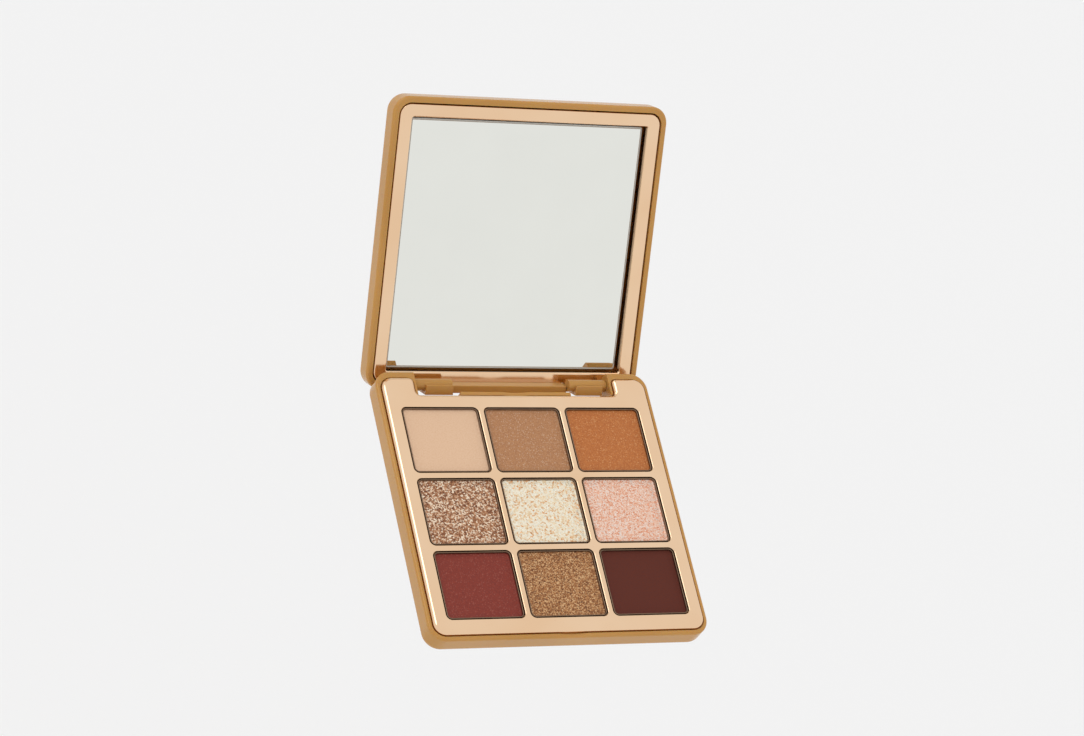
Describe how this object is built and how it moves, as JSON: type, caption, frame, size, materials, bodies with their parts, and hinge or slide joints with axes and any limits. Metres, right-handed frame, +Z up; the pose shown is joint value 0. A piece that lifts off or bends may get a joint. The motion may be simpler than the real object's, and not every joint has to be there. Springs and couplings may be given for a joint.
{
  "type": "eyeshadow palette",
  "caption": "Square hinged eyeshadow palette: gloss plastic tub and lid, metallised pan tray with pressed powders, framed mirror inside the lid.",
  "frame": {"origin": "middle of the flat underside of the tub", "axes": "+X to the user's right, +Y towards the hinge at the back, +Z up out of the pans"},
  "size_m": [0.0826, 0.1414, 0.0603],
  "materials": {
    "caramel_plastic": "glossy moulded ABS, solid caramel colour",
    "rose_gold_plate": "polished rose-gold vacuum metallised plastic",
    "tin_pan": "pressed bright tin",
    "adhesive": "tacky film",
    "pin_steel": "drawn steel",
    "magnet": "nickel plated",
    "mirror": "silvered glass",
    "nude_matte": "pressed powder, nude matte",
    "taupe_satin": "pressed powder, taupe satin",
    "copper_satin": "pressed powder, copper satin",
    "bronze_glitter": "pressed powder, bronze glitter",
    "champagne_glitter": "pressed powder, champagne glitter",
    "pink_glitter": "pressed powder, pink glitter",
    "brick_satin": "pressed powder, brick satin",
    "gold_brown_shimmer": "pressed powder, gold brown shimmer",
    "espresso_matte": "pressed powder, espresso matte"
  },
  "bodies": {
    "base": {"base_shell": "caramel_plastic", "pan_tray": "rose_gold_plate", "pan_1": "tin_pan", "powder_1_nude_matte": "nude_matte", "pan_2": "tin_pan", "powder_2_taupe_satin": "taupe_satin", "pan_3": "tin_pan", "powder_3_copper_satin": "copper_satin", "pan_4": "tin_pan", "powder_4_bronze_glitter": "bronze_glitter", "pan_5": "tin_pan", "powder_5_champagne_glitter": "champagne_glitter", "pan_6": "tin_pan", "powder_6_pink_glitter": "pink_glitter", "pan_7": "tin_pan", "powder_7_brick_satin": "brick_satin", "pan_8": "tin_pan", "powder_8_gold_brown_shimmer": "gold_brown_shimmer", "pan_9": "tin_pan", "powder_9_espresso_matte": "espresso_matte", "pan_adhesive": "adhesive", "hinge_pin_left": "pin_steel", "hinge_pin_right": "pin_steel", "base_magnets": "magnet"},
    "lid": {"lid_shell": "caramel_plastic", "mirror_frame": "rose_gold_plate", "mirror_glass": "mirror", "mirror_adhesive": "adhesive", "lid_magnets": "magnet"}
  },
  "joints": [
    {"name": "lid_hinge", "type": "hinge", "parent": "base", "child": "lid", "pos_m": [0, 0.03812, 0.00383], "axis": [1, 0, 0], "range_deg": [0, 135.6]}
  ]
}
